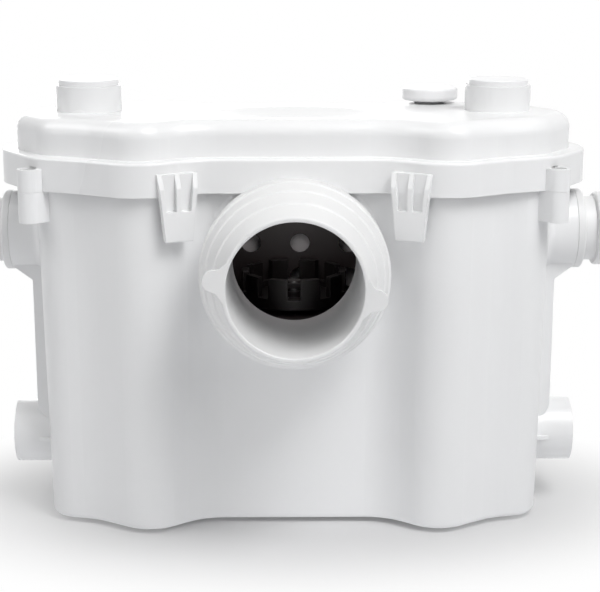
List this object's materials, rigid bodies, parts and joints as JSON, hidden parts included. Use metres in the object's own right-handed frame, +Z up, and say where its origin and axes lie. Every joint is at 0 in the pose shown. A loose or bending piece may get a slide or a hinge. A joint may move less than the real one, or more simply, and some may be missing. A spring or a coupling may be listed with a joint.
{
  "type": "sewage lifting station",
  "caption": "Lobed plastic tank with a flanged lid, a stepped rubber pan inlet, small side inlets and lid ports, holding a cutter, motor and pump on one shaft.",
  "frame": {"origin": "on the floor under the middle of the tank, on the middle foot's face", "axes": "+Z up, -Y towards the large inlet at the front, +X to the right seen from the front"},
  "size_m": [0.467, 0.2591, 0.322],
  "materials": {
    "white_abs": "moulded satin gloss",
    "white_cap": "moulded satin",
    "white_rubber": "soft matt",
    "black_plastic": "moulded",
    "grey_plastic": "moulded",
    "black_rubber": "matt",
    "stainless": "turned and brushed",
    "motor_casting": "baked paint on a casting",
    "lamination": "stacked sheet",
    "copper_winding": "varnished wire",
    "carbon_filter": "open foam with carbon",
    "capacitor_can": "drawn can"
  },
  "bodies": {
    "tank_body": {"tank": "white_abs", "rubber_feet": "black_rubber", "lid_gasket": "black_rubber", "inlet_sleeve": "white_rubber", "side_sleeve_right": "white_rubber", "side_sleeve_left": "white_rubber", "flap_pins": "stainless", "basket": "black_plastic", "motor_housing": "motor_casting", "motor_cover": "motor_casting", "upper_bearing": "stainless", "lower_bearing": "stainless", "upper_seal": "black_rubber", "lower_seal": "black_rubber", "stator": "lamination", "stator_windings": "copper_winding", "pump_casing": "black_plastic", "suction_plate": "black_plastic", "discharge_elbow": "grey_plastic", "check_valve_body": "grey_plastic", "check_pin": "stainless", "discharge_riser": "grey_plastic", "riser_seal": "black_rubber", "electrics_box": "grey_plastic", "electrics_cover": "grey_plastic", "pressure_tube": "grey_plastic", "pressure_switch": "black_plastic", "capacitor": "capacitor_can", "cable_gland": "black_plastic"},
    "lid_body": {"lid": "white_abs", "lid_screws": "stainless", "vent_filter": "carbon_filter"},
    "right_cap": {"port_cap_right": "white_cap"},
    "left_cap": {"port_cap_left": "white_cap"},
    "vent_top": {"vent_cap": "white_cap"},
    "rotor": {"shaft": "stainless", "rotor_core": "lamination", "cutter": "stainless", "cutter_nut": "stainless", "cutter_spacer": "stainless", "impeller": "black_plastic", "impeller_nut": "stainless"},
    "right_flap": {"inlet_flap_right": "grey_plastic"},
    "left_flap": {"inlet_flap_left": "grey_plastic"},
    "discharge_flap": {"check_flap": "black_rubber"},
    "level_plunger": {"switch_plunger": "grey_plastic"}
  },
  "joints": [
    {"name": "lid_lift", "type": "slide", "parent": "tank_body", "child": "lid_body", "axis": [0, 0, 1], "range_m": [0, 0.1]},
    {"name": "right_cap_pull", "type": "slide", "parent": "lid_body", "child": "right_cap", "axis": [0, 0, 1], "range_m": [0, 0.03]},
    {"name": "left_cap_pull", "type": "slide", "parent": "lid_body", "child": "left_cap", "axis": [0, 0, 1], "range_m": [0, 0.03]},
    {"name": "vent_cap_pull", "type": "slide", "parent": "lid_body", "child": "vent_top", "axis": [0, 0, 1], "range_m": [0, 0.02]},
    {"name": "rotor_spin", "type": "hinge", "parent": "tank_body", "child": "rotor", "pos_m": [0, -0.006, 0.1], "axis": [0, 0, 1], "continuous": true},
    {"name": "right_flap_swing", "type": "hinge", "parent": "tank_body", "child": "right_flap", "pos_m": [0.1643, 0, 0.0829], "axis": [0, 1, 0], "range_deg": [0, 60]},
    {"name": "left_flap_swing", "type": "hinge", "parent": "tank_body", "child": "left_flap", "pos_m": [-0.1643, 0, 0.0829], "axis": [0, -1, 0], "range_deg": [0, 60]},
    {"name": "check_flap_lift", "type": "hinge", "parent": "tank_body", "child": "discharge_flap", "pos_m": [-0.067, 0.02, 0.0795], "axis": [0, 1, 0], "range_deg": [0, 65]},
    {"name": "level_plunger_rise", "type": "slide", "parent": "tank_body", "child": "level_plunger", "axis": [0, 0, 1], "range_m": [0, 0.003], "stiffness_N_per_m": 300, "springref_m": -0.002}
  ]
}
